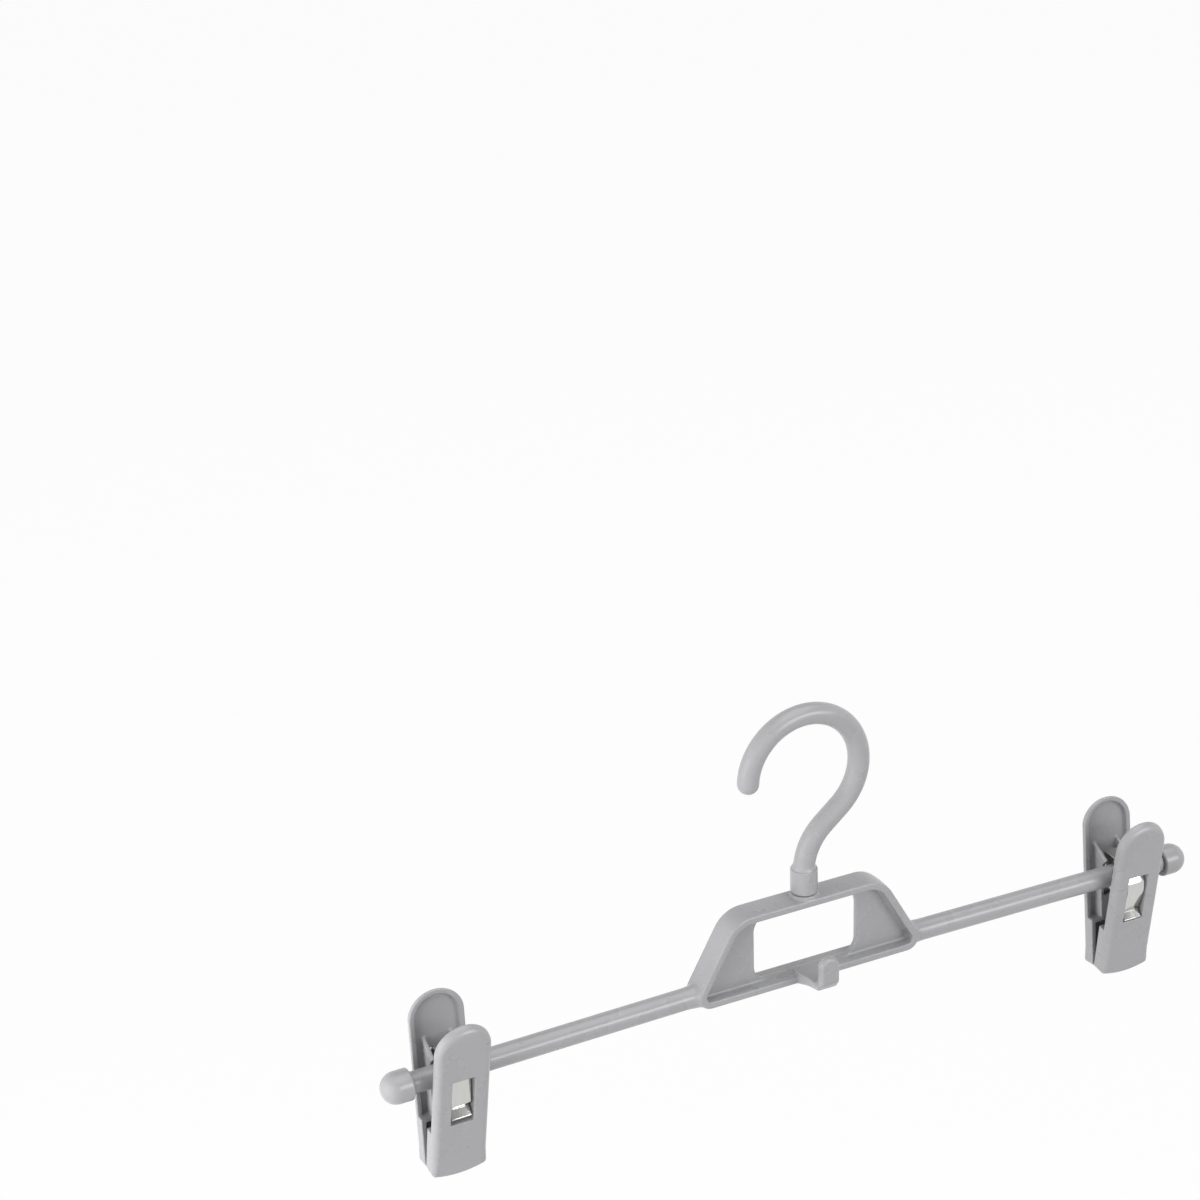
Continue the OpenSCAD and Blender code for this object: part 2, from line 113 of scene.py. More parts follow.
# Clips: places along the arms, and how far each is turned on its arm at rest
CLIP_X = {"left": 139.2, "right": 137.2}
CLIP_TURN = {"left": 4.8, "right": 0.6}
SIDES = {"left": -1, "right": 1}


# Solids given by their distance
def rounded_cut(a, b, r):
    """What lies inside both a and b, with the edge between their surfaces rounded to radius r."""
    return np.minimum(np.maximum(a, b), -r) + np.hypot(np.maximum(a + r, 0), np.maximum(b + r, 0))


def filleted_join(a, b, r):
    """What lies inside a or b, with the corner between their surfaces filled to radius r."""
    return np.maximum(np.minimum(a, b), r) - np.hypot(np.maximum(r - a, 0), np.maximum(r - b, 0))


def slab(v, low, high):
    """Distance to the layer between two values."""
    return np.abs(v - (low + high) / 2) - (high - low) / 2


def round_box(u, v, half_u, half_v, r):
    """Distance in a plane to a rectangle with round corners."""
    a = np.abs(u) - half_u + r
    b = np.abs(v) - half_v + r
    return np.hypot(np.maximum(a, 0), np.maximum(b, 0)) + np.minimum(np.maximum(a, b), 0) - r


def polygon(u, v, points):
    """Signed distance in a plane to a polygon: the least distance to its sides, negative where a ray
    to the right crosses an odd number of them."""
    best = np.inf
    odd = np.zeros(np.broadcast(u, v).shape, bool)
    for (au, av), (bu, bv) in zip(points, np.roll(points, -1, axis=0)):
        du, dv = bu - au, bv - av
        t = np.clip(((u - au) * du + (v - av) * dv) / (du * du + dv * dv), 0, 1)
        best = np.minimum(best, np.hypot(u - au - t * du, v - av - t * dv))
        if dv:
            odd ^= ((av > v) != (bv > v)) & (u < au + (v - av) * du / dv)
    return np.where(odd, -best, best)


# The corners of a lattice cell, and its edges as pairs of corners
CELL = np.array([(i, j, k) for i in (0, 1) for j in (0, 1) for k in (0, 1)])
CELL_EDGES = [(a, b) for a in range(8) for b in range(a + 1, 8) if np.abs(CELL[a] - CELL[b]).sum() == 1]


def surface_net(distance, axes):
    """The surface where a distance is zero, as points and four-sided faces that point outwards.

    The distance is taken at every point of a lattice. Each cell that the surface crosses gets one
    point, the mean of the crossings on the cell's edges, which then slides along the slope of the
    distance until it lies on the surface. Each lattice edge that the surface crosses gets one face,
    through the points of the four cells round it.
    """
    value = distance(*np.meshgrid(*axes, indexing="ij", sparse=True))
    inside = value < 0
    n = np.array(inside.shape) - 1
    count = np.zeros(n, np.uint8)
    for i, j, k in CELL:
        count += inside[i:n[0] + i, j:n[1] + j, k:n[2] + k]
    crossed = (count > 0) & (count < 8)
    cells = np.argwhere(crossed)
    number = np.full(n, -1)
    number[crossed] = np.arange(len(cells))

    at = cells[:, None, :] + CELL
    corner_value = value[at[..., 0], at[..., 1], at[..., 2]]
    corner = np.stack([axes[m][at[..., m]] for m in range(3)], axis=-1)
    total = np.zeros((len(cells), 3))
    crossings = np.zeros((len(cells), 1))
    for a, b in CELL_EDGES:
        va, vb = corner_value[:, a], corner_value[:, b]
        hit = (va < 0) != (vb < 0)
        t = np.where(hit, va / np.where(hit, va - vb, 1), 0)[:, None]
        total += hit[:, None] * (corner[:, a] + t * (corner[:, b] - corner[:, a]))
        crossings += hit[:, None]
    points = total / crossings

    longest_slide = 0.45 * np.min([np.diff(a).min() for a in axes])
    tiny = 0.01 * longest_slide
    least_slope = 0.2
    for _ in range(3):
        here = distance(*points.T)
        rise = [distance(*(points + e).T) - distance(*(points - e).T) for e in tiny * np.eye(3)]
        slope = np.stack(rise, axis=-1) / (2 * tiny)
        slide = -here[:, None] * slope / np.maximum((slope ** 2).sum(1, keepdims=True), least_slope)
        length = np.linalg.norm(slide, axis=1, keepdims=True)
        points += slide * np.minimum(1, longest_slide / np.maximum(length, 1e-9))

    faces = []
    for m in range(3):
        p, q = (m + 1) % 3, (m + 2) % 3
        low = np.take(inside, np.arange(n[m]), axis=m)
        high = np.take(inside, np.arange(1, n[m] + 1), axis=m)
        e = np.argwhere(low != high)
        e = e[(e[:, p] > 0) & (e[:, p] < n[p]) & (e[:, q] > 0) & (e[:, q] < n[q])]
        ring = []
        for dp, dq in ((-1, -1), (0, -1), (0, 0), (-1, 0)):
            c = e.copy()
            c[:, p] += dp
            c[:, q] += dq
            ring.append(number[tuple(c.T)])
        ring = np.stack(ring, axis=-1)
        outward = low[tuple(e.T)]
        faces.append(np.where(outward[:, None], ring, ring[:, ::-1]))
    return points, np.concatenate(faces)


# Surfaces on a grid
def grid_faces(rows, columns, close_rows=False):
    """Four-sided faces of a grid of points whose columns close on themselves."""
    r = np.arange(rows if close_rows else rows - 1)[:, None]
    c = np.arange(columns)[None, :]
    r1, c1 = (r + 1) % rows, (c + 1) % columns
    ring = [r * columns + c, r * columns + c1, r1 * columns + c1, r1 * columns + c]
    return np.stack([np.broadcast_to(i, (len(r), columns)).ravel() for i in ring], axis=-1)


def turned_surface(profile, segments):
    """A closed profile of (radius, height) carried round the Z axis: each point is radius times the
    cosine and the sine of the turn, at its height."""
    profile = np.asarray(profile, float)
    turn = np.linspace(0, 2 * np.pi, segments, endpoint=False)
    points = np.stack([profile[:, :1] * np.cos(turn), profile[:, :1] * np.sin(turn),
                       np.broadcast_to(profile[:, 1:], (len(profile), segments))], axis=-1)
    return points.reshape(-1, 3), grid_faces(len(profile), segments, close_rows=True)


def arc(centre, radius, start, end, n):
    """Points round a circle from one angle to another."""
    t = np.radians(np.linspace(start, end, n))
    return np.stack([centre[0] + radius * np.cos(t), centre[1] + radius * np.sin(t)], axis=-1)


# Places
def shift(x, y, z):
    """A place moved along the axes, as a four by four matrix."""
    m = np.eye(4)
    m[:3, 3] = x, y, z
    return m


def turn_about(axis, degrees):
    """A place turned about one axis."""
    return np.array(Matrix.Rotation(math.radians(degrees), 4, axis))


def on_arm(side, along):
    """Place on an arm at a distance from the middle, with X along that arm."""
    return (shift(side * ARM_ROOT_X, 0, -HANG_DROP) @ turn_about("Y", side * ARM_FALL)
            @ shift(side * (along - ARM_ROOT_X), 0, 0))


def placed(points, place):
    """Points carried to a place."""
    return points @ place[:3, :3].T + place[:3, 3]


# Pieces and materials
def make_piece(name, points, faces, material, uv=None):
    """A mesh object at the origin, its points in metres, smooth, with one material."""
    mesh = bpy.data.meshes.new(name)
    mesh.vertices.add(len(points))
    mesh.vertices.foreach_set("co", (np.asarray(points) * MM).astype(np.float32).ravel())
    mesh.loops.add(faces.size)
    mesh.loops.foreach_set("vertex_index", faces.astype(np.int32).ravel())
    mesh.polygons.add(len(faces))
    mesh.polygons.foreach_set("loop_start", np.arange(0, faces.size, faces.shape[1], dtype=np.int32))
    mesh.update(calc_edges=True)
    mesh.validate()
    mesh.shade_smooth()
    if uv is not None:
        layer = mesh.uv_layers.new(name="strip")
        layer.data.foreach_set("uv", uv[faces.ravel()].astype(np.float32).ravel())
    mesh.materials.append(material)
    piece = bpy.data.objects.new(name, mesh)
    bpy.context.scene.collection.objects.link(piece)
    return piece


def srgb(hexa):
    """A hex colour as linear red, green, blue and alpha."""
    c = np.array([int(hexa[i:i + 2], 16) for i in (1, 3, 5)]) / 255
    linear = np.where(c <= 0.04045, c / 12.92, ((c + 0.055) / 1.055) ** 2.4)
    return (*linear, 1.0)


def add_node(tree, kind, inputs=None, **settings):
    """One node of a material, with its settings; each input takes a value or another node's output."""
    node = tree.nodes.new(kind)
    for name, value in settings.items():
        setattr(node, name, value)
    for name, value in (inputs or {}).items():
        if isinstance(value, bpy.types.NodeSocket):
            tree.links.new(value, node.inputs[name])
        else:
            node.inputs[name].default_value = value
    return node


def new_material(name):
    """An empty material and its node tree."""
    material = bpy.data.materials.new(name)
    material.use_nodes = True
    material.node_tree.nodes.clear()
    return material, material.node_tree


def per_metre(size_mm):
    """Scale of a pattern whose features measure size_mm, for coordinates in metres."""
    return 1 / (size_mm * MM)


# Sizes of the finishes' patterns
CLOUD_SIZE = 11
SKIN_GRAIN = 0.45
ROLLING_LINE_L = 9
ROLLING_LINE_W = 0.3


def satin_polypropylene():
    """Injection-moulded polypropylene with a fine spark-eroded skin: an even grey, faint flow clouds a
    centimetre across, and a soft, slightly uneven sheen."""
    material, tree = new_material("satin moulded polypropylene")
    place = add_node(tree, "ShaderNodeTexCoord").outputs["Object"]
    clouds = add_node(tree, "ShaderNodeTexNoise", {"Vector": place, "Scale": per_metre(CLOUD_SIZE),
                                                   "Detail": 3.0})
    grain = add_node(tree, "ShaderNodeTexNoise", {"Vector": place, "Scale": per_metre(SKIN_GRAIN),
                                                  "Detail": 2.0})
    blotch = add_node(tree, "ShaderNodeMix", {"Factor": 0.35, "A": clouds.outputs["Fac"],
                                              "B": grain.outputs["Fac"]}, data_type="FLOAT")
    colour = add_node(tree, "ShaderNodeValToRGB", {"Fac": blotch.outputs["Result"]})
    colour.color_ramp.elements[0].position = 0.3
    colour.color_ramp.elements[0].color = srgb("#909092")
    colour.color_ramp.elements[1].position = 0.7
    colour.color_ramp.elements[1].color = srgb("#949496")
    sheen = add_node(tree, "ShaderNodeMapRange", {"Value": clouds.outputs["Fac"], "From Min": 0.3,
                                                  "From Max": 0.7, "To Min": 0.26, "To Max": 0.3})
    bump = add_node(tree, "ShaderNodeBump", {"Height": grain.outputs["Fac"], "Strength": 0.08,
                                             "Distance": 0.02 * MM})
    surface = add_node(tree, "ShaderNodeBsdfPrincipled", {
        "Base Color": colour.outputs["Color"], "Roughness": sheen.outputs["Result"], "IOR": 1.49,
        "Normal": bump.outputs["Normal"]})
    add_node(tree, "ShaderNodeOutputMaterial", {"Surface": surface.outputs["BSDF"]})
    return material


def zinc_plated_steel():
    """Spring strip of rolled steel, bright zinc plated: a clear, slightly soft reflection with fine
    rolling lines along the strip. The strip's own map is in millimetres."""
    material, tree = new_material("zinc plated spring steel")
    along = add_node(tree, "ShaderNodeUVMap", uv_map="strip").outputs["UV"]
    stretched = add_node(tree, "ShaderNodeMapping", {
        "Vector": along, "Scale": (1 / ROLLING_LINE_L, 1 / ROLLING_LINE_W, 1)})
    lines = add_node(tree, "ShaderNodeTexNoise", {"Vector": stretched.outputs["Vector"], "Scale": 1.0,
                                                  "Detail": 3.0})
    colour = add_node(tree, "ShaderNodeValToRGB", {"Fac": lines.outputs["Fac"]})
    colour.color_ramp.elements[0].position = 0.3
    colour.color_ramp.elements[0].color = srgb("#c4c5c1")
    colour.color_ramp.elements[1].position = 0.7
    colour.color_ramp.elements[1].color = srgb("#cccdca")
    gloss = add_node(tree, "ShaderNodeMapRange", {"Value": lines.outputs["Fac"], "From Min": 0.3,
                                                  "From Max": 0.7, "To Min": 0.1, "To Max": 0.15})
    bump = add_node(tree, "ShaderNodeBump", {"Height": lines.outputs["Fac"], "Strength": 0.02,
                                             "Distance": 0.01 * MM})
    surface = add_node(tree, "ShaderNodeBsdfPrincipled", {
        "Base Color": colour.outputs["Color"], "Metallic": 1.0, "Roughness": gloss.outputs["Result"],
        "Normal": bump.outputs["Normal"]})
    add_node(tree, "ShaderNodeOutputMaterial", {"Surface": surface.outputs["BSDF"]})
    return material


PLASTIC = satin_polypropylene()
STEEL = zinc_plated_steel()


# Hook, with angles round its bend from the right. FOOT_R and FOOT_H are its flare over the collar.
HOOK_ROD_R = 3.9
HOOK_R = 22.2
HOOK_TIP_A = 177.0
HOOK_LOW_A = 50.0
STEM_BEND_R = 21.4
FOOT_R = 4.55
FOOT_H = 1.8
FOOT_Z = STEM_FOOT - HANG_DROP


def hook_path():
    """Middle line of the hook in X and Z with the rod's radius at each point: a round tip, the big bend
    of HOOK_R, a straight run, the bend back over the stem, the flared foot and the thin tail."""
    low = math.radians(HOOK_LOW_A)
    run = (HOOK_R * math.cos(low) - STEM_BEND_R * (1 - math.cos(low))) / math.sin(low)
    bend_end = HOOK_R * np.array([math.cos(low), -math.sin(low)])
    run_end = bend_end - run * np.array([math.sin(low), math.cos(low)])
    stem_centre = np.array([STEM_BEND_R, run_end[1] - STEM_BEND_R * math.sin(low)])

    cap = np.linspace(0, np.pi / 2, 14)[:-1]
    tip_a = math.radians(HOOK_TIP_A)
    tip = HOOK_R * np.array([math.cos(tip_a), math.sin(tip_a)])
    beyond = np.array([-math.sin(tip_a), math.cos(tip_a)])
    tip_points = tip + HOOK_ROD_R * np.cos(cap)[:, None] * beyond
    tip_radii = HOOK_ROD_R * np.sin(cap)

    bend = arc((0, 0), HOOK_R, HOOK_TIP_A, -HOOK_LOW_A, 150)
    straight = bend_end + np.linspace(0, 1, 14)[1:-1, None] * (run_end - bend_end)
    back = arc(stem_centre, STEM_BEND_R, 180 - HOOK_LOW_A, 180, 46)
    back = back[back[:, 1] > FOOT_Z + 0.05]
    body = np.concatenate([bend, straight, back])
    height = body[:, 1] - FOOT_Z
    flare = (FOOT_R - HOOK_ROD_R) * np.maximum(1 - height / FOOT_H, 0) ** 1.5

    head_z = HEAD_LOW - HANG_DROP
    head_top = head_z + HEAD_T
    tail = np.array([(back[-1, 0] / 2, FOOT_Z, FOOT_R), (0, FOOT_Z, FOOT_R), (0, FOOT_Z, TAIL_R),
                     (0, head_top, TAIL_R), (0, head_top, HEAD_R), (0, head_z, HEAD_R), (0, head_z, 0)])
    points = np.concatenate([tip_points, body, tail[:, :2]])
    radii = np.concatenate([tip_radii, HOOK_ROD_R + flare, tail[:, 2]])
    return points, radii


def make_hook():
    """A circle carried along the hook's middle line, square to it: each point is the middle plus the
    radius times the cosine of the turn towards the outside of the bend and its sine towards the back."""
    path, radii = hook_path()
    along = np.gradient(path, axis=0)
    along[path[:, 1] <= FOOT_Z] = (0, -1)
    along /= np.linalg.norm(along, axis=1, keepdims=True)
    out = np.stack([-along[:, 1], along[:, 0]], axis=-1)
    segments = 72
    turn = np.linspace(0, 2 * np.pi, segments, endpoint=False)
    x = path[:, :1] + radii[:, None] * np.cos(turn) * out[:, :1]
    z = path[:, 1:] + radii[:, None] * np.cos(turn) * out[:, 1:]
    y = radii[:, None] * np.sin(turn)
    points = np.stack([x, np.broadcast_to(y, x.shape), z], axis=-1).reshape(-1, 3)
    piece = make_piece("hook_rod", points, grid_faces(len(path), segments), PLASTIC)
    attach(piece, "hook")
    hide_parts("hook")


def make_collar():
    """A ring round the hook's foot: a rectangle with round outer corners carried round the axis."""
    bore = TAIL_R + COLLAR_GAP
    edge_x = COLLAR_R - COLLAR_EDGE
    profile = np.concatenate([[(bore, 0)], arc((edge_x, COLLAR_EDGE), COLLAR_EDGE, -90, 0, 7),
                              arc((edge_x, COLLAR_H - COLLAR_EDGE), COLLAR_EDGE, 0, 90, 7),
                              [(bore, COLLAR_H)]])
    points, faces = turned_surface(profile, 96)
    points = placed(points, shift(0, 0, COLLAR_LOW - HANG_DROP))
    piece = make_piece("hook_collar_ring", points, faces, PLASTIC)
    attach(piece, "hook")
    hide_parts("hook_collar")


# Frame
def rim_lines():
    """Sharp corners of the rim's middle line in X and Z, clockwise from the top left, and the radius
    of the middle line at each."""
    slope = (FRAME_BOTTOM_W - FRAME_TOP_W) / 2 / FRAME_H
    slant = RIM_T / 2 * math.sqrt(1 + slope * slope)
    top_x = FRAME_TOP_W / 2 + slope * RIM_T / 2 - slant
    low_x = FRAME_BOTTOM_W / 2 - slope * RIM_T / 2 - slant
    top_z, low_z = BAR_TOP - RIM_T / 2, BAR_LOW + RIM_T / 2
    corners = np.array([(-top_x, top_z), (top_x, top_z), (low_x, low_z), (-low_x, low_z)])
    return corners, np.array([RIM_TOP_R, RIM_TOP_R, RIM_LOW_R, RIM_LOW_R])


def rim_line_distance(x, z):
    """Signed distance to the rim's middle line: the largest of the distances to its four straight
    sides, and beyond the tangents of a corner the distance to that corner's circle."""
    corners, radii = rim_lines()
    along = np.roll(corners, -1, axis=0) - corners
    along /= np.linalg.norm(along, axis=1, keepdims=True)
    out = np.stack([-along[:, 1], along[:, 0]], axis=-1)
    s = -np.inf
    for p, n in zip(corners, out):
        s = np.maximum(s, (x - p[0]) * n[0] + (z - p[1]) * n[1])
    for i in range(4):
        before, after = along[i - 1], along[i]
        n = out[i - 1] + out[i]
        centre = corners[i] - radii[i] * n / (1 + out[i - 1] @ out[i])
        u, w = x - centre[0], z - centre[1]
        beyond = (u * before[0] + w * before[1] > 0) & (u * after[0] + w * after[1] < 0)
        s = np.where(beyond, np.hypot(u, w) - radii[i], s)
    return s


# Small front hook: its finger, and the shelf that carries it. The shelf rises underneath by SHELF_RISE
# for each millimetre out, and spreads sideways towards its root.
FINGER_FRONT = 18.8
FINGER_BACK = 14.7
FINGER_HALF = 3.85
FINGER_TOP = 11.5
FINGER_LOW = -1.1
FINGER_CORNER_R = 1.9
FINGER_TOE_R = 3.6
FINGER_FACE_R = 1.3
FINGER_BACK_R = 2.2
SHELF_TOP = 0.4
SHELF_LOW = BAR_LOW + 0.1
SHELF_RISE = 0.21
SHELF_SPREAD = 1.5
SHELF_SPREAD_L = 7.0
SHELF_FROM = 1.0
SHELF_TO = FINGER_BACK + 1.5
SHELF_FILLET = 2.2


def small_hook(x, y, z):
    """The front hook: a shelf that tapers out from the lower bar, and an upright finger with an arched
    top and a round corner at its foot."""
    f = -y
    arch_z = FINGER_TOP - FINGER_HALF
    front = np.where(z > arch_z, np.hypot(x, z - arch_z), np.abs(x)) - FINGER_HALF
    front = rounded_cut(front, FINGER_LOW - z, FINGER_CORNER_R)
    face = rounded_cut(f - FINGER_FRONT, FINGER_LOW - z, FINGER_TOE_R)
    finger = rounded_cut(rounded_cut(front, face, FINGER_FACE_R), FINGER_BACK - f, FINGER_BACK_R)
    root = RIM_DEPTH / 2
    under = SHELF_LOW + (f - root) * SHELF_RISE
    spread = np.clip((root + SHELF_SPREAD_L - f) / SHELF_SPREAD_L, 0, 1) ** 2
    sides = np.abs(x) - FINGER_HALF - SHELF_SPREAD * spread
    shelf = rounded_cut(sides, rounded_cut(z - SHELF_TOP, under - z, SOFT), SOFT)
    shelf = np.maximum(shelf, slab(f, SHELF_FROM, SHELF_TO))
    return filleted_join(shelf, finger, SHELF_FILLET)


def arm_pair(x, y, z):
    """Both arms, swelling into the rim's corners, each with a thinner spigot for its knob."""
    fall = math.radians(ARM_FALL)
    past_root = np.abs(x) - ARM_ROOT_X
    u = past_root * math.cos(fall) - z * math.sin(fall)
    w = past_root * math.sin(fall) + z * math.cos(fall)
    off = np.hypot(y, w)
    end = ARM_END - ARM_ROOT_X
    swell = ARM_SWELL * np.clip(1 - u / ARM_SWELL_L, 0, 1) ** 2
    arm = rounded_cut(off - ARM_R - swell, slab(u, -ARM_SINK, end), SOFT)
    spigot = np.maximum(off - SPIGOT_R, slab(u, end / 2, end + SPIGOT_L))
    return np.minimum(arm, spigot)


def tail_hole(x, y, z):
    """The hole for the hook's tail, wider in the bar's underside, where the tail's head turns."""
    off = np.hypot(x, y)
    bore = np.maximum(off - TAIL_R - TAIL_GAP, BAR_TOP - RIM_T - z)
    pocket = slab(z, BAR_TOP - 2 * RIM_T, HEAD_LOW + HEAD_T + HEAD_GAP)
    return np.minimum(bore, np.maximum(off - HEAD_R - HEAD_GAP, pocket))


def frame_distance(x, y, z):
    """The frame's moulding: the rim with its crowned sides, the recessed web with its window, both arms,
    the small hook and the flange under the collar, less the tail's hole."""
    s = rim_line_distance(x, z)
    off_middle = (y / (RIM_DEPTH / 2)) ** 2
    across = np.where(s > 0, s + RIM_CROWN_OUT * off_middle, s - RIM_CROWN_IN * off_middle)
    rim = round_box(across, y, RIM_T / 2, RIM_DEPTH / 2, RIM_EDGE)
    window = round_box(x, z - BAR_LOW - FRAME_H / 2, WINDOW_HALF, FRAME_H / 2 - RIM_T, WINDOW_R)
    web = rounded_cut(np.maximum(np.abs(y) - WEB_T / 2, s), -window, SOFT)
    body = filleted_join(rim, web, WEB_FILLET)
    body = filleted_join(body, arm_pair(x, y, z), ARM_FILLET)
    body = filleted_join(body, small_hook(x, y, z), SMALL_FILLET)
    flange = rounded_cut(np.hypot(x, y) - FLANGE_R, z - FLANGE_TOP, SOFT)
    body = filleted_join(body, np.maximum(flange, FLANGE_ROOT - z), SMALL_FILLET)
    return np.maximum(body, -tail_hole(x, y, z))


def frame_lattice():
    """Places along X, Y and Z: fine round the frame, in long steps along the plain arms and shorter ones
    at their ends, and in depth finest at the rim's edges. Only the small hook has no match behind."""
    fine, plain_step, end_step = 0.36, 2.0, 0.6
    plain_from, plain_to = 60, ARM_END - 1
    half_x = np.concatenate([np.arange(0, plain_from, fine), np.arange(plain_from, plain_to, plain_step),
                             np.arange(plain_to, ARM_END + SPIGOT_L + 2, end_step)])
    web_step, side_step, edge_step = 0.3, 0.7, 0.2
    web_to, side_from, edge = 2.4, 2.6, RIM_DEPTH / 2
    half_y = np.concatenate([np.arange(web_step / 2, web_to, web_step),
                             np.arange(side_from, edge - 1, side_step),
                             np.arange(edge - side_step, edge + 2 * edge_step, edge_step)])
    hook_y = np.arange(-FINGER_FRONT - 1, -edge - 2 * edge_step, fine)
    return (np.concatenate([-half_x[:0:-1], half_x]), np.concatenate([hook_y, -half_y[::-1], half_y]),
            np.arange(BAR_LOW - 3.5, FLANGE_TOP + 1, fine))


def make_frame():
    """The frame as one closed surface, moved down from the arms' middle line to where it hangs."""
    points, faces = surface_net(frame_distance, frame_lattice())
    piece = make_piece("frame_moulding", placed(points, shift(0, 0, -HANG_DROP)), faces, PLASTIC)
    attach(piece, "frame")
    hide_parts("frame")


def make_knob(name, side):
    """An end knob: a dome on a short straight part, with a round inner edge and a blind bore. Its
    profile keeps a hair off the axis, so that it closes round the middle without a pinched face."""
    bore, depth = SPIGOT_R + SPIGOT_GAP, SPIGOT_L + SPIGOT_END_GAP
    hair = 0.001
    profile = np.concatenate([[(bore, 0)], arc((KNOB_R - KNOB_EDGE, KNOB_EDGE), KNOB_EDGE, -90, 0, 8),
                              arc((0, KNOB_STRAIGHT), KNOB_R, 0, 89.5, 30),
                              [(hair, KNOB_STRAIGHT + KNOB_R), (hair, depth), (bore, depth)]])
    points, faces = turned_surface(profile, 72)
    place = on_arm(side, ARM_END) @ turn_about("Y", side * 90)
    piece = make_piece(name + "_arm_knob", placed(points, place), faces, PLASTIC)
    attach(piece, "frame")
    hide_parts(name + "_end_knob")


# Jaws. D is the distance from the arm's axis towards the jaw's face, and L the length along the jaw, up
# the handle from the arm. A jaw is a shell with two pockets, one over the step and one in the grip below
# it. FACE_D, FLOOR_D, RIM_D and GRIP_D are how far out the face, the pockets' floor, the handle's rim
# and the grip's mouth at the step lie.
JAW_W = 20.6
JAW_LEAN = 7.3
HANDLE_L = 27.9
GRIP_L = 39.0
GRIP_D = 4.8
STEP_L = 18.6
FACE_D = 11.0
FLOOR_D = FACE_D - 1.6
RIM_D = FACE_D - 3.3
WALL_T = 1.9
GRIP_WALL_T = 2.6
CROSS_WALL_T = 1.6
BOW_R = 34.0
BOW_CORNER_R = 1.2
MOUTH_EDGE = 0.35
POCKET_CORNER = 0.4
COVE_R = 0.6
ARM_GAP = 0.1

# Roundness of a jaw's outer edge at four lengths along it, alike but for the last 8 mm at each end
FACE_EDGE = ((-GRIP_L, 8 - GRIP_L, HANDLE_L - 8, HANDLE_L), (1.0, 2.4, 2.4, 3.6))

# What a jaw fills seen along the arm, in D and L, going FAR beyond its face, its top and its foot
FAR = 45
FOOT_D = GRIP_L * math.tan(math.radians(JAW_LEAN)) + 0.1
JAW_SIDE = [(FAR, -FAR), (FAR, FAR), (RIM_D, FAR), (RIM_D, -STEP_L), (GRIP_D, -STEP_L),
            (FOOT_D, -GRIP_L), (5.5, -FAR)]

# Ribs that ride on the arm, in D and L, and the bridge and sill between them for the spring's end. BITE
# is how far these two sink into what carries them.
RIB_SIDE = [(FLOOR_D + 0.5, 10.4), (FLOOR_D, 10.4), (1.35, 5.2), (3.5, 3.1), (3.5, -3.1), (4.9, -8.7),
            (4.9, -STEP_L - 0.5), (FLOOR_D + 0.5, -STEP_L - 0.5)]
RIB_IN = 4.4
RIB_T = 1.4
RIB_FILLET = 0.5
BRIDGE_D = 6.4
BRIDGE_T = 1.5
BRIDGE_TOP = -10.2
SILL_TOP = -14.8
SILL_T = 1.5
BITE = 0.2

# Window for the spring, cut through the face's wall from SLOT_FROM to SLOT_TO
SLOT_MIDDLE = -4.75
SLOT_W = 8.6
SLOT_H = 20.1
SLOT_FROM = FLOOR_D - 0.5
SLOT_TO = FACE_D + 2
SLOT_CORNER_R = 0.35
SLOT_EDGE = 0.25


def jaw_outline(x, l):
    """Distance to a jaw's outline from the front, with its bottom edge and without: straight sides, a
    round top, and a bottom edge that bows down between round corners."""
    half = JAW_W / 2
    cap = HANDLE_L - half
    sides = np.where(l > cap, np.hypot(x, l - cap), np.abs(x)) - half
    bow = np.hypot(x, l + GRIP_L - BOW_R) - BOW_R
    return rounded_cut(sides, np.where(l < 0, bow, -BOW_R - l), BOW_CORNER_R), sides


def jaw_distance(x, d, l):
    """One jaw beside the arm: a shell whose outer face has round edges, hollowed from the inside with a
    cove to the floor, with a cross wall at the step, a window, two ribs that ride on the arm, and a
    bridge behind the window's foot."""
    outline, sides = jaw_outline(x, l)
    shell = rounded_cut(outline, d - FACE_D, np.interp(l, *FACE_EDGE))
    shell = rounded_cut(shell, polygon(d, l, np.array(JAW_SIDE)), MOUTH_EDGE)
    hollow = rounded_cut(sides + WALL_T, d - FLOOR_D, COVE_R)
    for stretch in (-STEP_L - l, slab(l, -GRIP_L + GRIP_WALL_T, -STEP_L - CROSS_WALL_T)):
        shell = rounded_cut(shell, -rounded_cut(hollow, stretch, POCKET_CORNER), SOFT)

    ribs = rounded_cut(polygon(d, l, np.array(RIB_SIDE)), slab(np.abs(x), RIB_IN, RIB_IN + RIB_T), SOFT)
    body = filleted_join(shell, ribs, RIB_FILLET)
    bridge = np.maximum(slab(d, BRIDGE_D - BRIDGE_T, BRIDGE_D), slab(l, -STEP_L, BRIDGE_TOP))
    sill = np.maximum(slab(l, SILL_TOP - SILL_T, SILL_TOP), slab(d, BRIDGE_D - BITE, FLOOR_D + BITE))
    between_ribs = np.abs(x) - RIB_IN - BITE
    body = np.minimum(body, np.maximum(between_ribs, np.minimum(bridge, sill)))
    window = round_box(x, l - SLOT_MIDDLE, SLOT_W / 2, SLOT_H / 2, SLOT_CORNER_R)
    window = np.maximum(window, slab(d, SLOT_FROM, SLOT_TO))
    body = rounded_cut(body, -window, SLOT_EDGE)
    return np.maximum(body, ARM_R + ARM_GAP - np.hypot(d, l))


def jaw_surface():
    """A jaw's surface in its own place beside the arm, with Z along it and its face to the front."""
    step, margin, nearest = 0.3, 0.7, 0.4
    half = JAW_W / 2 + margin
    axes = (np.arange(-half, half, step), np.arange(nearest, FACE_D + margin, step),
            np.arange(-GRIP_L - margin, HANDLE_L + margin, step))
    points, faces = surface_net(jaw_distance, axes)
    return points * (1, -1, 1), faces[:, ::-1]


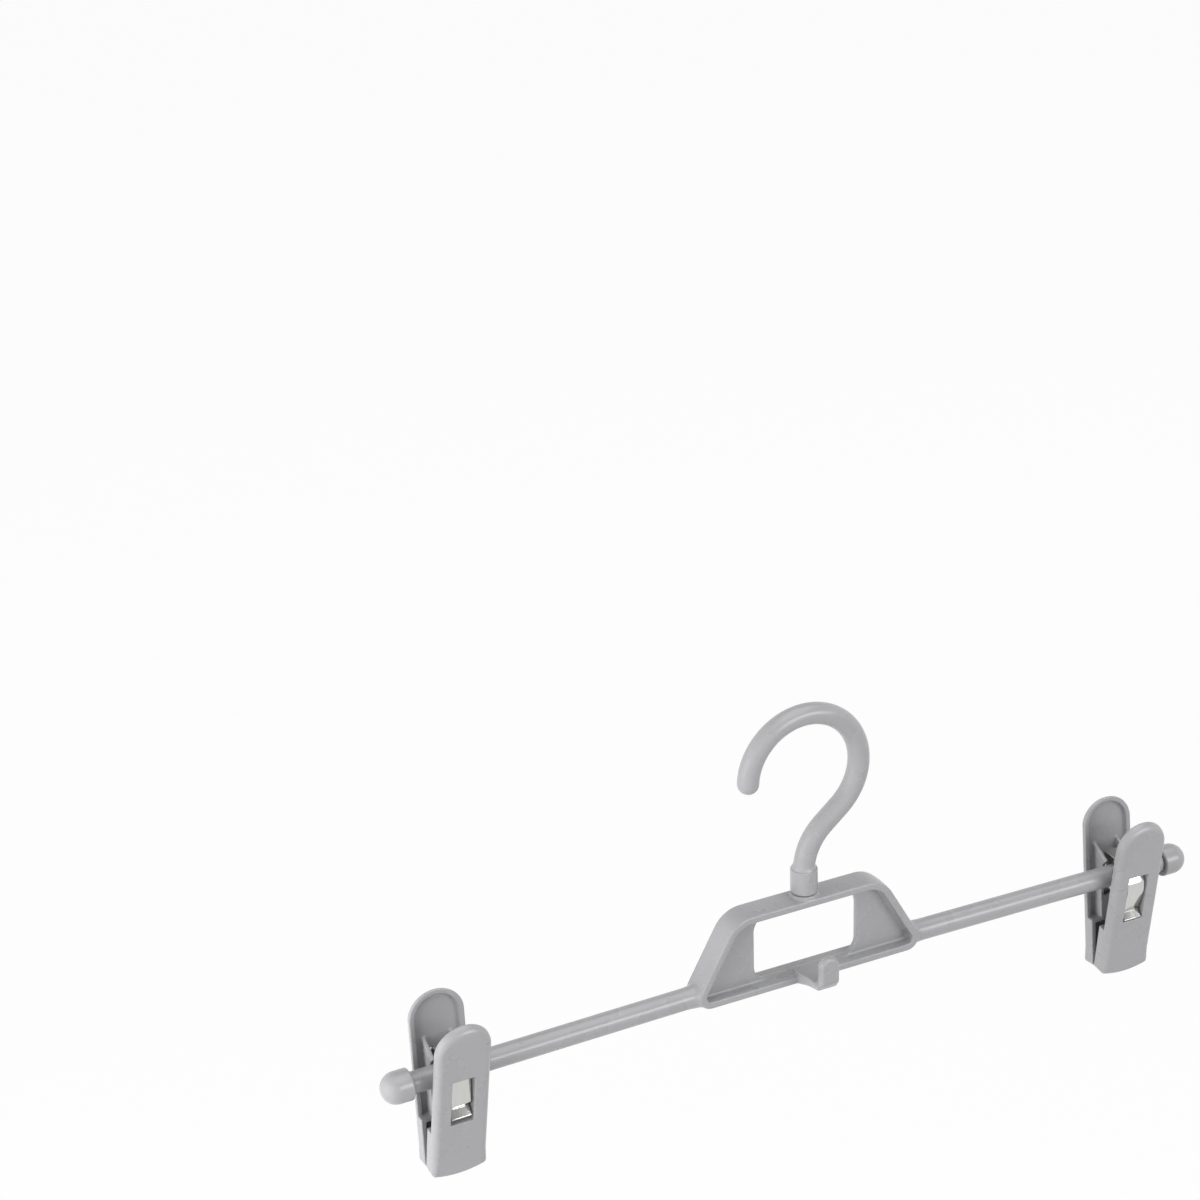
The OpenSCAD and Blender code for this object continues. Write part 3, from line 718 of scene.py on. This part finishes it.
def clip_place(name):
    """Place of a clip on its arm, with Z up along the clip."""
    return on_arm(SIDES[name], CLIP_X[name]) @ turn_about("X", CLIP_TURN[name])


def make_jaws():
    """Four jaws of one shape: the back one of each clip is the front one mirrored, its faces turned."""
    points, faces = jaw_surface()
    lean = turn_about("X", JAW_LEAN)
    mirror = np.diag((1, -1, 1, 1))
    for name in SIDES:
        for which, flip, order in (("front", np.eye(4), faces), ("back", mirror, faces[:, ::-1])):
            place = clip_place(name) @ flip @ lean
            piece = make_piece(f"{name}_{which}_jaw_shell", placed(points, place), order, PLASTIC)
            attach(piece, f"{name}_{which}")
            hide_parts(f"{name}_{which}_jaw")


# Spring strips. The front half of each is a row of corners in D and L with the radius at each, from
# the crown over the arm to the lip in the window.
STRIP_W = 7.4
STRIP_T = 0.5
STRIP_EDGE = 0.18
STRIP_BENDS = {
    "left": ([(0, 7.1), (6.3, 7.1), (8.6, 4.2), (8.4, -8.4), (6.0, -11.0), (8.7, -14.0)],
             [0, 1.3, 1.5, 1.5, 0.5, 0]),
    "right": ([(0, 7.1), (6.3, 7.1), (9.8, 0.2), (9.7, -4.2), (6.8, -12.9), (8.9, -15.5)],
              [0, 1.3, 0.9, 12, 0.4, 0])}


def strip_line(name):
    """Middle line of a spring strip in Y and Z, from the back lip over the crown to the front lip:
    straight runs joined by arcs that touch both, cut into steps of at most half a millimetre, and the
    same mirrored behind."""
    corners, radii = STRIP_BENDS[name]
    corners = np.array(corners, float)
    parts = [corners[:1]]
    for i in range(1, len(corners) - 1):
        p = corners[i]
        a = p - corners[i - 1]
        b = corners[i + 1] - p
        a, b = a / np.linalg.norm(a), b / np.linalg.norm(b)
        half = math.acos(a @ b) / 2
        turn = np.sign(a[0] * b[1] - a[1] * b[0])
        enter = p - a * radii[i] * math.tan(half)
        middle = enter + turn * radii[i] * np.array([-a[1], a[0]])
        start = math.degrees(math.atan2(*(enter - middle)[::-1]))
        parts.append(arc(middle, radii[i], start, start + turn * math.degrees(2 * half), 14))
    half_line = np.concatenate([*parts, corners[-1:]])
    step = np.linalg.norm(np.diff(half_line, axis=0), axis=1)
    at = np.concatenate([[0], np.cumsum(step)])
    even = np.union1d(at, np.arange(0, at[-1], 0.5))
    even = even[np.concatenate([[True], np.diff(even) > 1e-3])]
    half_line = np.stack([np.interp(even, at, half_line[:, m]) for m in (0, 1)], axis=-1)
    return np.concatenate([half_line[:0:-1] * (-1, 1), half_line]) * (-1, 1)


def make_spring(name):
    """A flat strip with round edges carried along its bent middle line: each point is the middle plus
    the section's width along X and its thickness square to the line. Each end closes on its middle, and
    the map is the length along the strip and the place across it."""
    line = strip_line(name)
    along = np.gradient(line, axis=0)
    along /= np.linalg.norm(along, axis=1, keepdims=True)
    square = np.stack([-along[:, 1], along[:, 0]], axis=-1)
    edge_x, edge_t = STRIP_W / 2 - STRIP_EDGE, STRIP_T / 2 - STRIP_EDGE
    corners = [(edge_x, edge_t), (-edge_x, edge_t), (-edge_x, -edge_t), (edge_x, -edge_t)]
    section = np.concatenate([arc(corner, STRIP_EDGE, 90 * i, 90 * (i + 1), 4)
                              for i, corner in enumerate(corners)])
    x = np.broadcast_to(section[:, 0], (len(line), len(section)))
    y = line[:, :1] + section[:, 1] * square[:, :1]
    z = line[:, 1:] + section[:, 1] * square[:, 1:]
    points = np.stack([x, y, z], axis=-1)
    ends = [np.broadcast_to(points[e].mean(0), points[e].shape) for e in (0, -1)]
    points = np.concatenate([ends[:1], points, ends[1:]]).reshape(-1, 3)
    length = np.concatenate([[0], np.cumsum(np.linalg.norm(np.diff(line, axis=0), axis=1))])
    length = np.concatenate([[0], length, length[-1:]])
    uv = np.stack([np.repeat(length, len(section)), np.tile(section[:, 0], len(length))], axis=-1)
    faces = grid_faces(len(length), len(section))[:, ::-1]
    piece = make_piece(name + "_spring_strip", placed(points, clip_place(name)), faces, STEEL, uv)
    centre = clip_place(name)[:3, 3] * MM
    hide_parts(name + "_clip_spring")
    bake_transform(piece)


# Floor, light and camera
def seen_share(tree):
    """One for camera, glossy and transmission rays, and nothing for the rays that light the object."""
    rays = add_node(tree, "ShaderNodeLightPath").outputs
    seen = add_node(tree, "ShaderNodeMath", {0: rays["Is Camera Ray"], 1: rays["Is Glossy Ray"]},
                    operation="MAXIMUM")
    seen = add_node(tree, "ShaderNodeMath", {0: seen.outputs[0], 1: rays["Is Transmission Ray"]},
                    operation="MAXIMUM")
    return seen.outputs[0]


def white_floor():
    """White paper that keeps a trace of the object's shadow, and is nearly all white to the camera."""
    material, tree = new_material("white paper floor")
    whiteness = 0.95
    share = add_node(tree, "ShaderNodeMath", {0: seen_share(tree), 1: whiteness}, operation="MULTIPLY")
    paper = add_node(tree, "ShaderNodeBsdfDiffuse", {"Color": srgb("#d2d2d2")})
    glow = add_node(tree, "ShaderNodeEmission", {"Color": srgb("#ffffff"), "Strength": 1.0})
    both = add_node(tree, "ShaderNodeMixShader", {0: share.outputs[0], 1: paper.outputs[0],
                                                  2: glow.outputs[0]})
    add_node(tree, "ShaderNodeOutputMaterial", {"Surface": both.outputs[0]})
    return material


FLOOR_Z = -330.0
FLOOR_HALF = 9000.0


def make_floor():
    """A flat square under the hanger: four corners, and one face that points up."""
    points = np.array([(x * FLOOR_HALF, y * FLOOR_HALF, FLOOR_Z)
                       for x, y in ((-1, -1), (1, -1), (1, 1), (-1, 1))])
    make_piece("paper_floor", points, np.array([[0, 1, 2, 3]]), white_floor())


def add_lamp(name, place, width, height, power, shines=True):
    """A soft box that faces the object's middle. One that doesn't shine is left out of reflections."""
    lamp = bpy.data.lights.new(name, "AREA")
    lamp.shape = "RECTANGLE"
    lamp.size = width
    lamp.size_y = height
    lamp.energy = power
    box = bpy.data.objects.new(name, lamp)
    box.visible_glossy = shines
    middle = Vector((0, 0, -0.06))
    turn = (Vector(place) - middle).to_track_quat("Z", "Y")
    box.matrix_world = Matrix.Translation(place) @ turn.to_matrix().to_4x4()
    bpy.context.scene.collection.objects.link(box)


def white_surroundings():
    """A white studio that lights the object a little less strongly than it shows, with a dimmer ceiling
    for what shines."""
    world = bpy.data.worlds.new("studio")
    world.use_nodes = True
    tree = world.node_tree
    tree.nodes.clear()
    towards = add_node(tree, "ShaderNodeTexCoord").outputs["Generated"]
    height = add_node(tree, "ShaderNodeSeparateXYZ", {"Vector": towards}).outputs["Z"]
    ceiling = add_node(tree, "ShaderNodeMapRange", {"Value": height, "From Min": 0.45, "From Max": 0.7,
                                                    "To Min": 1.0, "To Max": 0.15})
    strength = add_node(tree, "ShaderNodeMapRange", {"Value": seen_share(tree), "To Min": 0.5,
                                                     "To Max": ceiling.outputs["Result"]})
    light = add_node(tree, "ShaderNodeBackground", {"Color": srgb("#ffffff"),
                                                    "Strength": strength.outputs["Result"]})
    add_node(tree, "ShaderNodeOutputWorld", {"Surface": light.outputs[0]})
    return world


def add_camera(eye, azimuth, elevation, roll, lens):
    """The photograph's camera: it looks along +Y, turned to the right by the azimuth and down by the
    elevation, and rolled about its own axis."""
    camera = bpy.data.cameras.new("camera")
    camera.sensor_width = 36
    camera.lens = lens
    camera.clip_start = 0.05
    view = bpy.data.objects.new("camera", camera)
    turn = turn_about("Z", -azimuth) @ turn_about("X", 90 - elevation) @ turn_about("Z", roll)
    view.matrix_world = Matrix(shift(*eye) @ turn)
    bpy.context.scene.collection.objects.link(view)
    bpy.context.scene.camera = view


make_hook()
make_collar()
make_frame()
for side_name, sign in SIDES.items():
    make_knob(side_name, sign)
    make_spring(side_name)
make_jaws()

make_floor()
add_lamp("overhead soft box", place=(0.2, -0.12, 1.0), width=1.2, height=0.9, power=7.6)
add_lamp("front soft box", place=(0.55, -1.2, 0.42), width=1.0, height=0.45, power=10.0)
add_lamp("left soft box", place=(-0.8, -0.05, 0.0), width=0.7, height=0.6, power=8.2, shines=False)
bpy.context.scene.world = white_surroundings()
bpy.context.scene.view_settings.view_transform = "Standard"
add_camera(eye=(-0.501598, -0.860502, 0.519172), azimuth=26.2695, elevation=24.4214, roll=-1.7699,
           lens=96.595)

bpy.context.view_layer.update()
